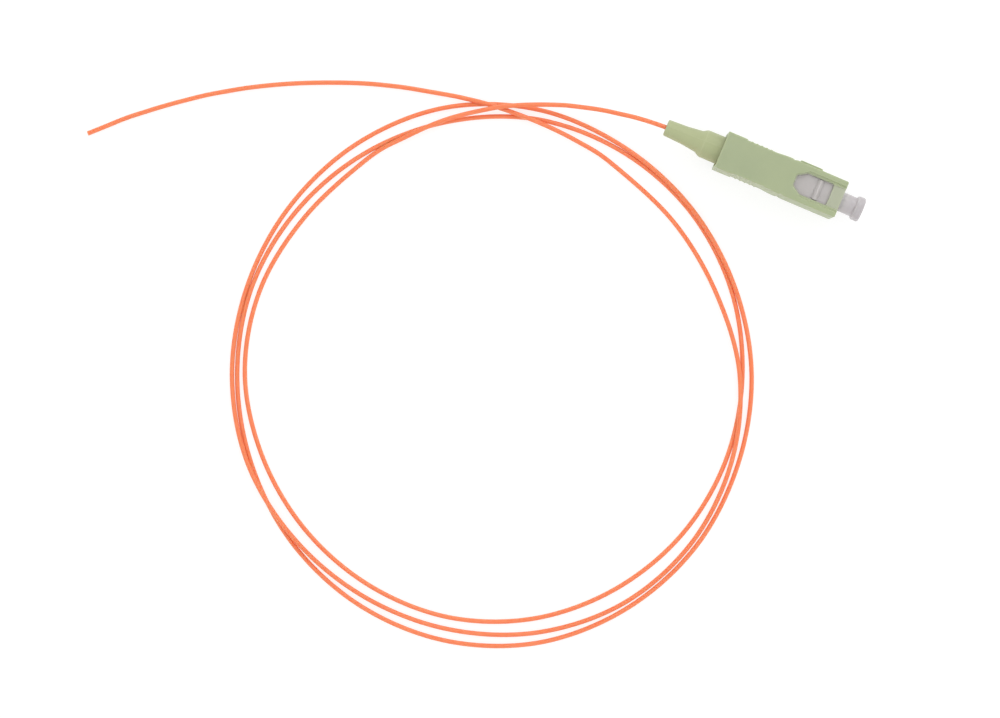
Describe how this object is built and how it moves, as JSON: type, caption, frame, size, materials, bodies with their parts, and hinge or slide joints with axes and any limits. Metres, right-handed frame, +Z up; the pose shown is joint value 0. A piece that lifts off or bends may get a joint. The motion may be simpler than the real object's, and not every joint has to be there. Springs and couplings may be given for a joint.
{
  "type": "fibre optic pigtail",
  "caption": "Beige push-pull fibre optic plug with a milky dust cap and short boot, on thin orange fibre that lies in loose turns and ends in a bare cut end.",
  "frame": {"origin": "under the middle of the grip, on its resting face, which is the surface that the pigtail lies on", "axes": "+X is the way the plug is pushed home, with the ferrule and dust cap in front; +Y is the side of the key; +Z is up"},
  "size_m": [0.145, 0.1154, 0.009],
  "materials": {
    "grip_plastic": "satin moulded, beige with a green cast",
    "frame_plastic": "milky, slightly translucent",
    "zirconia": "ground white ceramic",
    "nickel_plated_brass": "nickel plated",
    "spring_steel": "drawn wire",
    "body_plastic": "satin moulded",
    "boot_rubber": "soft, matt, beige with a green cast",
    "cap_plastic": "milky, translucent, waxy",
    "orange_buffer": "smooth extruded coating"
  },
  "bodies": {
    "plug": {"plug_frame": "frame_plastic", "rear_body": "body_plastic", "boot": "boot_rubber", "ferrule_spring": "spring_steel", "fibre_in_plug": "orange_buffer", "fibre_lead": "orange_buffer", "fibre_coil": "orange_buffer", "fibre_tail": "orange_buffer"},
    "grip": {"grip": "grip_plastic"},
    "ferrule": {"ferrule": "zirconia", "ferrule_flange": "nickel_plated_brass"},
    "dust_cap": {"dust_cap": "cap_plastic"}
  },
  "joints": [
    {"name": "grip_slide", "type": "slide", "parent": "plug", "child": "grip", "axis": [-1, 0, 0], "range_m": [0, 0.0018]},
    {"name": "ferrule_float", "type": "slide", "parent": "plug", "child": "ferrule", "axis": [-1, 0, 0], "range_m": [0, 0.001], "stiffness_N_per_m": 2000, "springref_m": -0.003, "deforming": ["ferrule_spring"]},
    {"name": "dust_cap_pull", "type": "slide", "parent": "ferrule", "child": "dust_cap", "axis": [1, 0, 0], "range_m": [0, 0.008]}
  ]
}
